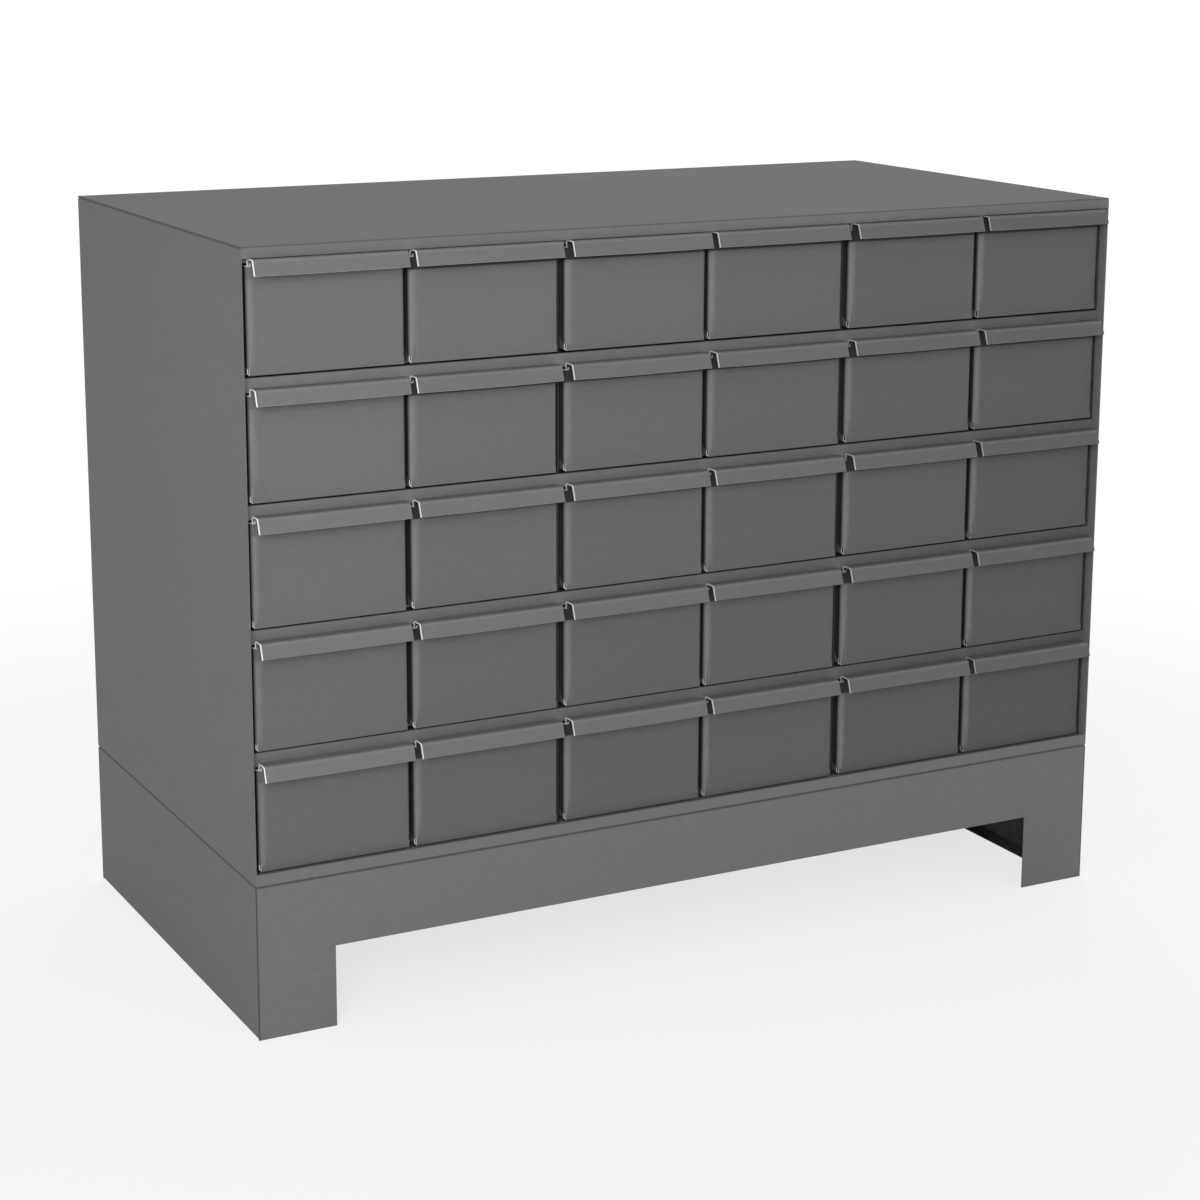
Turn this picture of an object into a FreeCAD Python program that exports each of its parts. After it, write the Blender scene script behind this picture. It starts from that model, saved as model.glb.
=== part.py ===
import FreeCAD, Part
import math
import os

# Steel cabinet of thirty small-parts drawers on a low base, in millimetres.
# +Z is up, +Y runs from the front to the back and +X to the right as seen from the front.
# The origin is on the floor, under the middle of the whole cabinet with its pulls.

# Cabinet
cabinet_width = 866.8
cabinet_depth = 438.2
body_height = 539.75
base_height = 136.5
shell_sheet = 1.2
shelf_sheet = 1.2
fold_radius = 0.8
weld_gap = 0.3

# Rows of drawers, counted from the top, and bays of two drawers, counted from the left
row_count = 5
bay_count = 3
side_gap = 4.6
pair_gap = 3.6
bay_gap = 6.4
floor_lift = 9.6
roof_drop = 1.9

# Roof and rails
roof_lip = 9.5
rail_recess = 9.5
rail_height = 12.3
rail_fold_radius = 1.2
bottom_rail_gap = 0.4
bottom_rail_leg = 25.0
shelf_lip = 12.0
side_flange = 16.0

# Guides and dividers, which the drawers ride on and between
guide_sheet = 1.5
guide_setback = 22.0
guide_foot = 11.0
guide_rib = 7.0
rib_clearance = 1.0
divider_head = 9.0

# Drawers
drawer_sheet = 0.9
drawer_length = 425.0
face_recess = 5.8
glide_gap = 0.5
head_gap = 2.2
corner_radius = 3.5
front_tab = 22.0
notch_height = 6.0
notch_inset = 1.4
mitre_rise = 13.0
hem_height = 7.0
stop_setback = 85.0
stop_length = 12.0
stop_rise = 5.0
stop_gap = 0.5

# Pull along the top of each drawer front
pull_inset = 1.4
pull_drop = 8.1
pull_reach = 12.0
pull_lip_reach = 16.5
pull_height = 12.8
pull_fold_radius = 1.6

# Base
foot_width = 71.0
foot_height = 73.0
base_flange = 20.0
corner_angle_leg = 18.0
corner_angle_sheet = 1.5

# Bolts between the base and the body
bolt_radius = 3.0
bolt_hole_clearance = 0.3
thread_clearance = 0.1
bolt_from_side = 8.5
bolt_from_end = 60.0
bolts_per_side = 3
bolt_end = 0.6
hex_across_flats = 10.0
bolt_head_height = 4.0
nut_height = 5.0

# Places that follow from the sizes above
column_count = 2 * bay_count
half_width = cabinet_width / 2
inner_half = half_width - shell_sheet
pull_proud = pull_lip_reach - face_recess
front_y = pull_proud / 2 - cabinet_depth / 2
back_y = front_y + cabinet_depth
back_inner_y = back_y - shell_sheet
cabinet_height = base_height + body_height
roof_underside = cabinet_height - shell_sheet
floor_level = base_height + floor_lift
row_pitch = (body_height - floor_lift - roof_drop) / row_count
rail_y = front_y + rail_recess
guide_front_y = front_y + guide_setback
pan_side_back_y = back_inner_y - shelf_sheet - weld_gap
guide_back_y = pan_side_back_y - rail_fold_radius
drawer_span = 2 * (inner_half - side_gap) - bay_count * pair_gap - (bay_count - 1) * bay_gap
drawer_width = drawer_span / column_count
bay_pitch = 2 * drawer_width + pair_gap + bay_gap
drawer_lift = guide_sheet + glide_gap
floor_edge = drawer_width / 2 - 2 * drawer_sheet - fold_radius
bottom_rail_height = floor_lift + drawer_lift - bottom_rail_gap
face_y = front_y + face_recess


def block(x_low, x_high, y_low, y_high, z_low, z_high):
    """Return the box between two corners."""
    corner = FreeCAD.Vector(x_low, y_low, z_low)
    return Part.makeBox(x_high - x_low, y_high - y_low, z_high - z_low, corner)


def fused(shapes):
    """Return the shapes joined into one, with no seams left between flush faces."""
    joined = shapes[0].fuse(shapes[1:]) if len(shapes) > 1 else shapes[0]
    return joined.removeSplitter()


def unit(start, end):
    """Return the unit vector from one point of the section plane to another."""
    length = math.hypot(end[0] - start[0], end[1] - start[1])
    return ((end[0] - start[0]) / length, (end[1] - start[1]) / length)


def offset_line(points, distance):
    """Return the corner points of a line drawn at a distance to the left of the given one."""
    runs = [unit(points[i], points[i + 1]) for i in range(len(points) - 1)]
    runs = [runs[0]] + runs + [runs[-1]]
    shifted = []
    for point, before, after in zip(points, runs, runs[1:]):
        share = distance / (1 + before[0] * after[0] + before[1] * after[1])
        step_u = -(before[1] + after[1]) * share
        step_v = (before[0] + after[0]) * share
        shifted.append((point[0] + step_u, point[1] + step_v))
    return shifted


def rounded_line(points, left_radius, right_radius, place):
    """Return the edges of an open line whose left turns and right turns are rounded."""
    edges = []
    start = points[0]
    for i in range(1, len(points) - 1):
        before = unit(points[i - 1], points[i])
        after = unit(points[i], points[i + 1])
        across = before[0] * after[1] - before[1] * after[0]
        along = before[0] * after[0] + before[1] * after[1]
        turn = math.atan2(across, along)
        radius = left_radius if turn > 0 else right_radius
        cut = radius * math.tan(abs(turn) / 2)
        inward = unit(before, after)
        rise = radius / math.cos(turn / 2) - radius
        arc_start = (points[i][0] - before[0] * cut, points[i][1] - before[1] * cut)
        arc_middle = (points[i][0] + inward[0] * rise, points[i][1] + inward[1] * rise)
        arc_end = (points[i][0] + after[0] * cut, points[i][1] + after[1] * cut)
        edges.append(Part.makeLine(place(start), place(arc_start)))
        edges.append(Part.Arc(place(arc_start), place(arc_middle), place(arc_end)).toShape())
        start = arc_end
    edges.append(Part.makeLine(place(start), place(points[-1])))
    return edges


def bent_sheet(points, sheet, inside_radius, place, sweep):
    """Return a bent sheet: its middle line in a section plane, thickened, rounded at the bends and swept."""
    outside_radius = inside_radius + sheet
    left = offset_line(points, sheet / 2)
    right = offset_line(points, -sheet / 2)
    edges = rounded_line(left, inside_radius, outside_radius, place)
    edges += rounded_line(right, outside_radius, inside_radius, place)
    edges.append(Part.makeLine(place(left[0]), place(right[0])))
    edges.append(Part.makeLine(place(left[-1]), place(right[-1])))
    outline = Part.Wire(Part.__sortEdges__(edges))
    return Part.Face(outline).extrude(sweep)


def sheet_along_x(points, sheet, inside_radius, x_low, x_high):
    """Return a bent sheet with its section in the YZ plane."""
    sweep = FreeCAD.Vector(x_high - x_low, 0, 0)
    return bent_sheet(points, sheet, inside_radius, lambda p: FreeCAD.Vector(x_low, p[0], p[1]), sweep)


def sheet_along_y(points, sheet, inside_radius, y_low, y_high):
    """Return a bent sheet with its section in the XZ plane."""
    sweep = FreeCAD.Vector(0, y_high - y_low, 0)
    return bent_sheet(points, sheet, inside_radius, lambda p: FreeCAD.Vector(p[0], y_low, p[1]), sweep)


def sheet_along_z(points, sheet, inside_radius, z_low, z_high):
    """Return a bent sheet with its section in the XY plane."""
    sweep = FreeCAD.Vector(0, 0, z_high - z_low)
    return bent_sheet(points, sheet, inside_radius, lambda p: FreeCAD.Vector(p[0], p[1], z_low), sweep)


def hexagon_prism(x, y, across_flats, z_low, z_high):
    """Return an upright hexagonal prism centred on a vertical axis."""
    corner = across_flats / math.sqrt(3)
    points = []
    for i in range(7):
        angle = math.radians(60 * i)
        points.append(FreeCAD.Vector(x + corner * math.cos(angle), y + corner * math.sin(angle), z_low))
    face = Part.Face(Part.makePolygon(points))
    return face.extrude(FreeCAD.Vector(0, 0, z_high - z_low))


def level(row):
    """Return the height that a row's guides stand on: the top of its shelf or of the floor pan."""
    return floor_level + (row_count - row) * row_pitch


def ceiling(row):
    """Return the underside of the sheet above a row."""
    return roof_underside if row == 1 else level(row - 1) - shelf_sheet


def drawer_centre(column):
    """Return the middle of a column of drawers, across the cabinet."""
    bay, place = divmod(column - 1, 2)
    first = -inner_half + side_gap + drawer_width / 2
    return first + bay * bay_pitch + place * (drawer_width + pair_gap)


def pair_centre(bay):
    """Return the middle of the gap between the two drawers of a bay."""
    return (drawer_centre(2 * bay - 1) + drawer_centre(2 * bay)) / 2


def divider_centre(place):
    """Return the middle of the gap between one bay and the next."""
    return (drawer_centre(2 * place) + drawer_centre(2 * place + 1)) / 2


def top_panel():
    """Return the roof sheet with its front lip bent down."""
    half = shell_sheet / 2
    points = [
        (front_y + half, cabinet_height - roof_lip),
        (front_y + half, cabinet_height - half),
        (back_y, cabinet_height - half),
    ]
    return sheet_along_x(points, shell_sheet, fold_radius, -half_width, half_width)


def side_panel(side):
    """Return a side of the body, with its top and bottom edges bent inward to flanges."""
    half = shell_sheet / 2
    web_x = side * (half_width - half)
    flange_x = side * (inner_half - side_flange)
    points = [
        (flange_x, base_height + half),
        (web_x, base_height + half),
        (web_x, roof_underside - half),
        (flange_x, roof_underside - half),
    ]
    panel = sheet_along_y(points, shell_sheet, fold_radius, front_y, back_y)
    inner_low, inner_high = sorted((side * inner_half, flange_x))
    outer_low, outer_high = sorted((0, side * half_width))
    flange_front = rail_y + shelf_sheet + weld_gap
    front_room = block(inner_low, inner_high, front_y, flange_front, base_height, roof_underside)
    back_room = block(inner_low, inner_high, back_inner_y, back_y, base_height, roof_underside)
    lip_back = front_y + shell_sheet
    lip_low = cabinet_height - roof_lip
    fold_low = roof_underside - fold_radius
    lip_room = block(outer_low, outer_high, front_y, lip_back, lip_low, roof_underside)
    fold_room = block(outer_low, outer_high, lip_back, lip_back + fold_radius, fold_low, roof_underside)
    panel = panel.cut([front_room, back_room, lip_room, fold_room])
    for x, y in bolt_places():
        if x * side > 0:
            panel = panel.cut(bolt_hole(x, y))
    return panel


def back_panel():
    """Return the flat back, which stands between the sides and under the roof."""
    return block(-inner_half, inner_half, back_inner_y, back_y, base_height, roof_underside)


def bottom_rail():
    """Return the angle along the bottom of the front, flush with the sides."""
    half = shell_sheet / 2
    points = [
        (front_y + bottom_rail_leg, base_height + half),
        (front_y + half, base_height + half),
        (front_y + half, base_height + bottom_rail_height),
    ]
    rail = sheet_along_x(points, shell_sheet, fold_radius, -inner_half, inner_half)
    leg_front = rail_y
    leg_back = front_y + bottom_rail_leg
    leg_top = base_height + shell_sheet
    for side in (-1, 1):
        x_low, x_high = sorted((side * (inner_half - side_flange - weld_gap), side * inner_half))
        rail = rail.cut(block(x_low, x_high, leg_front, leg_back, base_height, leg_top))
    return rail


def pan(top, front, front_drop, side_drop, back_drop):
    """Return a pan that fills the body from side to side, with all four edges bent down."""
    half = shelf_sheet / 2
    back = back_inner_y - half
    lengthwise = [
        (front + half, top - front_drop),
        (front + half, top - half),
        (back, top - half),
        (back, top - back_drop),
    ]
    edge = inner_half - half
    crosswise = [
        (-edge, top - side_drop),
        (-edge, top - half),
        (edge, top - half),
        (edge, top - side_drop),
    ]
    side_front = rail_y + shelf_sheet + rail_fold_radius
    sheets = [
        sheet_along_x(lengthwise, shelf_sheet, rail_fold_radius, -inner_half, inner_half),
        sheet_along_y(crosswise, shelf_sheet, rail_fold_radius, side_front, pan_side_back_y),
    ]
    return fused(sheets)


def bottom_panel():
    """Return the floor pan of the body, clear of the folds of the bottom rail and of the sides."""
    drop = floor_lift - shell_sheet - fold_radius
    return pan(floor_level, front_y + shell_sheet, drop, drop, drop)


def shelf(row):
    """Return the shelf under a row, whose front lip is the set-back rail that shows."""
    return pan(level(row), rail_y, rail_height, shelf_lip, shelf_lip)


def top_rail():
    """Return the set-back rail over the top row, hung from the roof."""
    half = shelf_sheet / 2
    leg_back = guide_front_y - weld_gap
    points = [
        (rail_y + half, level(0) - rail_height),
        (rail_y + half, roof_underside - half),
        (leg_back, roof_underside - half),
    ]
    rail = sheet_along_x(points, shelf_sheet, fold_radius, -inner_half, inner_half)
    leg_front = rail_y + shelf_sheet
    leg_bottom = roof_underside - shelf_sheet - fold_radius
    for side in (-1, 1):
        x_low, x_high = sorted((side * (inner_half - side_flange - weld_gap), side * inner_half))
        rail = rail.cut(block(x_low, x_high, leg_front, leg_back, leg_bottom, roof_underside))
    return rail


def bay_divider(row, place):
    """Return the upright sheet between two bays in one row, with two feet and a head flange."""
    x = divider_centre(place)
    half = guide_sheet / 2
    low = level(row)
    high = ceiling(row)
    nose_front = rail_y + shelf_sheet + rail_fold_radius + weld_gap
    nose_high = min(high, roof_underside - shelf_sheet)
    foot_reach = bay_gap / 2 + guide_foot
    points = [
        (x - foot_reach, low + half),
        (x, low + half),
        (x, high - half),
        (x + divider_head, high - half),
    ]
    upright = sheet_along_y(points, guide_sheet, fold_radius, guide_front_y, guide_back_y)
    foot = block(x, x + foot_reach, guide_front_y, guide_back_y, low, low + guide_sheet)
    nose = block(x - half, x + half, nose_front, guide_front_y, low, nose_high)
    return fused([upright, foot, nose])


def centre_guide(row, bay):
    """Return the inverted T strip that the two drawers of a bay ride on and between."""
    x = pair_centre(bay)
    half = guide_sheet / 2
    low = level(row)
    foot_reach = pair_gap / 2 + guide_foot
    points = [
        (x - foot_reach, low + half),
        (x, low + half),
        (x, low + guide_rib),
    ]
    rib = sheet_along_y(points, guide_sheet, fold_radius, guide_front_y, guide_back_y)
    foot = block(x, x + foot_reach, guide_front_y, guide_back_y, low, low + guide_sheet)
    return fused([rib, foot])


def centre_guides():
    """Return the centre guides of all rows and bays, each a separate solid."""
    places = [(row, bay) for row in range(1, row_count + 1) for bay in range(1, bay_count + 1)]
    return Part.makeCompound([centre_guide(row, bay) for row, bay in places])


def side_guide(row, side):
    """Return the angle strip that holds an outer drawer off the side of the body."""
    half = guide_sheet / 2
    low = level(row)
    drawer_side = inner_half - side_gap
    rib_x = side * (drawer_side + rib_clearance + half)
    points = [
        (side * (drawer_side - guide_foot), low + half),
        (rib_x, low + half),
        (rib_x, low + guide_rib),
    ]
    return sheet_along_y(points, guide_sheet, fold_radius, guide_front_y, guide_back_y)


def side_guides():
    """Return the side guides of all rows, each a separate solid."""
    places = [(row, side) for row in range(1, row_count + 1) for side in (-1, 1)]
    return Part.makeCompound([side_guide(row, side) for row, side in places])


def tab_mitre(foot_top):
    """Return the cutter that slopes the lower edges of a front's tabs up towards their ends."""
    front = face_y + corner_radius
    back = face_y + front_tab
    left = -drawer_width / 2
    corners = [(front, foot_top), (back, foot_top + mitre_rise), (back, foot_top), (front, foot_top)]
    outline = Part.makePolygon([FreeCAD.Vector(left, y, z) for y, z in corners])
    return Part.Face(outline).extrude(FreeCAD.Vector(drawer_width, 0, 0))


def drawer_front(low, wall_top, pull_top):
    """Return a drawer's front: a wrapped face with its foot, and the folded pull along its top."""
    half = drawer_sheet / 2
    wall_x = drawer_width / 2 - half
    plan = [
        (-wall_x, face_y + front_tab),
        (-wall_x, face_y + half),
        (wall_x, face_y + half),
        (wall_x, face_y + front_tab),
    ]
    corner_inside = corner_radius - drawer_sheet
    foot_top = low + notch_height
    wrap = sheet_along_z(plan, drawer_sheet, corner_inside, foot_top, wall_top).cut(tab_mitre(foot_top))
    section = [
        (face_y + half, foot_top),
        (face_y + half, pull_top - half),
        (face_y + half - pull_reach, pull_top - half),
        (face_y + half - pull_lip_reach, pull_top - pull_height),
    ]
    pull_x = drawer_width / 2 - pull_inset
    face = sheet_along_x(section, drawer_sheet, pull_fold_radius, -pull_x, pull_x)
    foot_x = drawer_width / 2 - notch_inset
    foot = block(-foot_x, foot_x, face_y, face_y + drawer_sheet, low, foot_top)
    return [wrap, face, foot]


def drawer_tray(low, wall_top):
    """Return a drawer's tray: floor, walls with folded hems and back, inside the tabs of its front."""
    half = drawer_sheet / 2
    outer_x = drawer_width / 2 - drawer_sheet
    inner_x = outer_x - drawer_sheet
    tray_front = face_y + corner_radius
    tray_back = face_y + drawer_length
    section = [
        (-outer_x + half, wall_top),
        (-outer_x + half, low + half),
        (outer_x - half, low + half),
        (outer_x - half, wall_top),
    ]
    walls = sheet_along_y(section, drawer_sheet, fold_radius, tray_front, tray_back)
    back = block(-inner_x, inner_x, tray_back - drawer_sheet, tray_back, low + half, wall_top)
    toe = block(-floor_edge, floor_edge, face_y + half, tray_front + corner_radius, low, low + drawer_sheet)
    pieces = [walls, back, toe]
    for side in (-1, 1):
        x_low, x_high = sorted((side * inner_x, side * (inner_x - drawer_sheet)))
        pieces.append(block(x_low, x_high, tray_front, tray_back, wall_top - hem_height, wall_top))
    return pieces


def stop_lugs(wall_top, lug_top):
    """Return the two lugs on a drawer's walls that meet the back of the rail when it is pulled out."""
    outer_x = drawer_width / 2 - drawer_sheet
    lug_front = face_y + drawer_length - stop_setback
    lugs = []
    for side in (-1, 1):
        x_low, x_high = sorted((side * outer_x, side * (outer_x - drawer_sheet)))
        lugs.append(block(x_low, x_high, lug_front, lug_front + stop_length, wall_top - hem_height, lug_top))
    return lugs


def drawer_travel():
    """Return how far a drawer slides out before its lugs meet the rail."""
    lug_front = face_y + drawer_length - stop_setback
    return lug_front - (rail_y + shelf_sheet) - stop_gap


def drawer():
    """Return a drawer centred across X, at the height that it has over a row level of zero."""
    low = drawer_lift
    wall_top = row_pitch - rail_height - head_gap
    pull_top = row_pitch - pull_drop
    lug_top = row_pitch - rail_height + stop_rise
    pieces = drawer_front(low, wall_top, pull_top)
    pieces += drawer_tray(low, wall_top)
    pieces += stop_lugs(wall_top, lug_top)
    return fused(pieces)


def base_end(front):
    """Return the front or back panel of the base: two feet, the cut-out between them and a top flange."""
    half = shell_sheet / 2
    outer_y = front_y if front else back_y
    inward = 1 if front else -1
    points = [
        (outer_y + inward * half, 0),
        (outer_y + inward * half, base_height - half),
        (outer_y + inward * base_flange, base_height - half),
    ]
    panel = sheet_along_x(points, shell_sheet, fold_radius, -half_width, half_width)
    y_low, y_high = sorted((outer_y, outer_y + inward * shell_sheet))
    arch_x = half_width - foot_width
    panel = panel.cut(block(-arch_x, arch_x, y_low, y_high, 0, foot_height))
    y_low, y_high = sorted((outer_y + inward * shell_sheet, outer_y + inward * base_flange))
    fold_low = base_height - shell_sheet - fold_radius
    for side in (-1, 1):
        x_low, x_high = sorted((side * (half_width - base_flange - weld_gap), side * half_width))
        panel = panel.cut(block(x_low, x_high, y_low, y_high, fold_low, base_height))
    return panel


def base_side(side):
    """Return a side panel of the base, down to the floor, with inward flanges at its top and bottom."""
    half = shell_sheet / 2
    web_x = side * (half_width - half)
    flange_x = side * (half_width - base_flange)
    points = [
        (flange_x, half),
        (web_x, half),
        (web_x, base_height - half),
        (flange_x, base_height - half),
    ]
    panel = sheet_along_y(points, shell_sheet, fold_radius, front_y + shell_sheet, back_inner_y)
    for x, y in bolt_places():
        if x * side > 0:
            panel = panel.cut(bolt_hole(x, y))
    return panel


def base_corner_angles():
    """Return the four angles inside the corners of the base, each a separate solid."""
    half = corner_angle_sheet / 2
    low = shell_sheet + fold_radius
    high = base_height - shell_sheet - fold_radius
    angles = []
    for side in (-1, 1):
        for end_y, inward in ((front_y + shell_sheet, 1), (back_inner_y, -1)):
            web_x = side * (inner_half - half)
            web_y = end_y + inward * half
            points = [
                (web_x - side * corner_angle_leg, web_y),
                (web_x, web_y),
                (web_x, end_y + inward * corner_angle_leg),
            ]
            angles.append(sheet_along_z(points, corner_angle_sheet, fold_radius, low, high))
    return Part.makeCompound(angles)


def bolt_places():
    """Return the axes of the bolts between the base and the body, evenly spaced along each side."""
    first = front_y + bolt_from_end
    last = back_y - bolt_from_end
    step = (last - first) / (bolts_per_side - 1)
    bolt_x = inner_half - bolt_from_side
    return [(side * bolt_x, first + i * step) for side in (-1, 1) for i in range(bolts_per_side)]


def bolt_hole(x, y):
    """Return the cutter for a bolt hole through the flanges of the base and the body."""
    radius = bolt_radius + bolt_hole_clearance
    corner = FreeCAD.Vector(x, y, base_height - shell_sheet)
    return Part.makeCylinder(radius, 2 * shell_sheet, corner)


def base_bolts():
    """Return the bolts, heads under the flange of the base, each a separate solid."""
    bolts = []
    head_top = base_height - shell_sheet
    for x, y in bolt_places():
        length = 2 * shell_sheet + nut_height + bolt_end
        shank = Part.makeCylinder(bolt_radius, length, FreeCAD.Vector(x, y, head_top))
        head = hexagon_prism(x, y, hex_across_flats, head_top - bolt_head_height, head_top)
        bolts.append(fused([shank, head]))
    return Part.makeCompound(bolts)


def base_nuts():
    """Return the nuts on the bolts, on the flanges of the body, each a separate solid."""
    nuts = []
    low = base_height + shell_sheet
    for x, y in bolt_places():
        nut = hexagon_prism(x, y, hex_across_flats, low, low + nut_height)
        bore = Part.makeCylinder(bolt_radius + thread_clearance, nut_height, FreeCAD.Vector(x, y, low))
        nuts.append(nut.cut(bore))
    return Part.makeCompound(nuts)


def cabinet_nodes():
    """Return every sub-part of the cabinet by its name."""
    nodes = {
        "top_panel": top_panel(),
        "left_side_panel": side_panel(-1),
        "right_side_panel": side_panel(1),
        "back_panel": back_panel(),
        "bottom_panel": bottom_panel(),
        "bottom_rail": bottom_rail(),
        "top_rail": top_rail(),
        "centre_guides": centre_guides(),
        "side_guides": side_guides(),
        "base_front_panel": base_end(True),
        "base_back_panel": base_end(False),
        "base_left_panel": base_side(-1),
        "base_right_panel": base_side(1),
        "base_corner_angles": base_corner_angles(),
        "base_bolts": base_bolts(),
        "base_nuts": base_nuts(),
    }
    for row in range(1, row_count):
        nodes[f"shelf_{row}"] = shelf(row)
    for row in range(1, row_count + 1):
        for place in range(1, bay_count):
            nodes[f"bay_divider_{row}_{place}"] = bay_divider(row, place)
    one_drawer = drawer()
    for row in range(1, row_count + 1):
        for column in range(1, column_count + 1):
            place = FreeCAD.Vector(drawer_centre(column), 0, level(row))
            nodes[f"drawer_{row}_{column}"] = one_drawer.translated(place)
    return nodes


print(f"Each drawer slides out by {drawer_travel():.1f} mm")
os.makedirs("parts", exist_ok=True)
for name, shape in cabinet_nodes().items():
    shape.exportStep(f"parts/{name}.step")
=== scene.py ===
import math
import random

import bmesh
import bpy
from mathutils import Matrix, Vector


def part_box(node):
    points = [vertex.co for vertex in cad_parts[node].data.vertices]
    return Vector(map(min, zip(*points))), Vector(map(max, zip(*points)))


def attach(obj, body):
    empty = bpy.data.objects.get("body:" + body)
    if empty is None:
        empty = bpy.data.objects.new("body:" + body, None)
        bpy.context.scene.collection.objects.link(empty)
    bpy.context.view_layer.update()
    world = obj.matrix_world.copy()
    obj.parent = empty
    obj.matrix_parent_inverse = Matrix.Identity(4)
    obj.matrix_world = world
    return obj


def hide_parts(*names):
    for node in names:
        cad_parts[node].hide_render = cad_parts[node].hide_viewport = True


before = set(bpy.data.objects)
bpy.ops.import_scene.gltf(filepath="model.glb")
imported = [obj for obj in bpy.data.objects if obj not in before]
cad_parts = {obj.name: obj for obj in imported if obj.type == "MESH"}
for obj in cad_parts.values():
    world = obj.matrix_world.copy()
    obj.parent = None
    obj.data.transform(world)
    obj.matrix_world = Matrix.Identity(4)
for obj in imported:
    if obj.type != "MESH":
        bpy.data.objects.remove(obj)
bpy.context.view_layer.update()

bl_info = {
    "name": "Steel Drawer Cabinet",
    "version": (1, 0, 0),
    "blender": (4, 5, 0),
    "location": "3D View > Sidebar > Cabinet",
    "description": "Dresses a cabinet of small-parts drawers in bent sheet, enamel and plated steel",
    "category": "Object",
}

MM = 0.001

ROWS = 5
COLUMNS = 6
TOP_ROW = 1

OUTER_PANELS = ["top_panel", "left_side_panel", "right_side_panel"]
PAINTED_BODY = OUTER_PANELS + ["back_panel", "bottom_panel", "bottom_rail"]
DIVIDER_PLACES = (1, 2)
DIVIDERS = [f"bay_divider_{row}_{place}" for row in range(1, ROWS + 1) for place in DIVIDER_PLACES]
PAINTED_RAILS = ["top_rail"] + [f"shelf_{row}" for row in range(1, ROWS)]
BASE_FACES = ["base_front_panel", "base_back_panel"]
PAINTED_BASE = BASE_FACES + ["base_left_panel", "base_right_panel", "base_corner_angles"]
GUIDES = ["centre_guides", "side_guides"]
FASTENERS = ["base_bolts", "base_nuts"]


# Settings


class DrawerSheetSettings(bpy.types.PropertyGroup):
    """Sizes of the bent sheets that a drawer is made of."""

    sheet: bpy.props.FloatProperty(
        name="Sheet", description="Thickness of the drawers' steel", default=0.9 * MM, unit="LENGTH")
    length: bpy.props.FloatProperty(
        name="Length", description="From the face to the back of a drawer", default=425 * MM,
        unit="LENGTH")
    front_height: bpy.props.FloatProperty(
        name="Front Height", description="From the floor of a drawer to the top of its pull",
        default=95.55 * MM, unit="LENGTH")
    wall_height: bpy.props.FloatProperty(
        name="Wall Height", description="From the floor of a drawer to the top of its walls",
        default=89.15 * MM, unit="LENGTH")
    corner_radius: bpy.props.FloatProperty(
        name="Corner Radius", description="Outside radius where the face wraps round to the tabs",
        default=3.5 * MM, unit="LENGTH")
    tab: bpy.props.FloatProperty(
        name="Tab", description="How far the face's tabs reach back along the walls", default=22 * MM,
        unit="LENGTH")
    notch_height: bpy.props.FloatProperty(
        name="Notch Height", description="Height of the notch in each lower corner of the face",
        default=6 * MM, unit="LENGTH")
    notch_inset: bpy.props.FloatProperty(
        name="Notch Inset", description="Depth of that notch, from the side", default=1.4 * MM,
        unit="LENGTH")
    mitre_rise: bpy.props.FloatProperty(
        name="Mitre Rise", description="Rise of the slope under each tab", default=13 * MM, unit="LENGTH")
    fold_radius: bpy.props.FloatProperty(
        name="Fold Radius", description="Inside radius between the floor and the walls", default=0.8 * MM,
        unit="LENGTH")
    hem_height: bpy.props.FloatProperty(
        name="Hem Height", description="Height of the hem folded over each wall", default=7 * MM,
        unit="LENGTH")
    stop_setback: bpy.props.FloatProperty(
        name="Stop Setback", description="From the back of a drawer to its stop lugs", default=85 * MM,
        unit="LENGTH")
    stop_length: bpy.props.FloatProperty(
        name="Stop Length", description="Length of a stop lug along the wall", default=12 * MM,
        unit="LENGTH")


class PullSettings(bpy.types.PropertyGroup):
    """Sizes of the pull folded along the top of a drawer's face."""

    inset: bpy.props.FloatProperty(
        name="Inset", description="From the side of the drawer to the end of its pull", default=1.4 * MM,
        unit="LENGTH")
    reach: bpy.props.FloatProperty(
        name="Reach", description="From the face to the pull's front bend", default=12 * MM,
        unit="LENGTH")
    lip_reach: bpy.props.FloatProperty(
        name="Lip Reach", description="From the face to the pull's lower edge", default=16.5 * MM,
        unit="LENGTH")
    height: bpy.props.FloatProperty(
        name="Height", description="From the top of the pull to its lower edge", default=12.8 * MM,
        unit="LENGTH")
    bend_radius: bpy.props.FloatProperty(
        name="Bend Radius", description="Inside radius of the pull's bends", default=1.6 * MM,
        unit="LENGTH")


class FitSettings(bpy.types.PropertyGroup):
    """How loosely the drawers hang, and how far their faces are from flat."""

    seed: bpy.props.IntProperty(
        name="Seed", description="Start of the row of random numbers that sets every drawer's play",
        default=7)
    play: bpy.props.FloatProperty(
        name="Play", description="Most that a drawer stands off its place", default=0.45 * MM,
        unit="LENGTH")
    top_row_shift: bpy.props.FloatProperty(
        name="Top Row Shift", description="How far the top row hangs to the right", default=0.4 * MM,
        unit="LENGTH")
    skew: bpy.props.FloatProperty(
        name="Skew", description="Most that a drawer is turned in its place", default=math.radians(0.1),
        subtype="ANGLE", unit="ROTATION")
    bow: bpy.props.FloatProperty(
        name="Bow", description="Most that a face bulges or sinks", default=0.5 * MM, unit="LENGTH")


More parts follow.
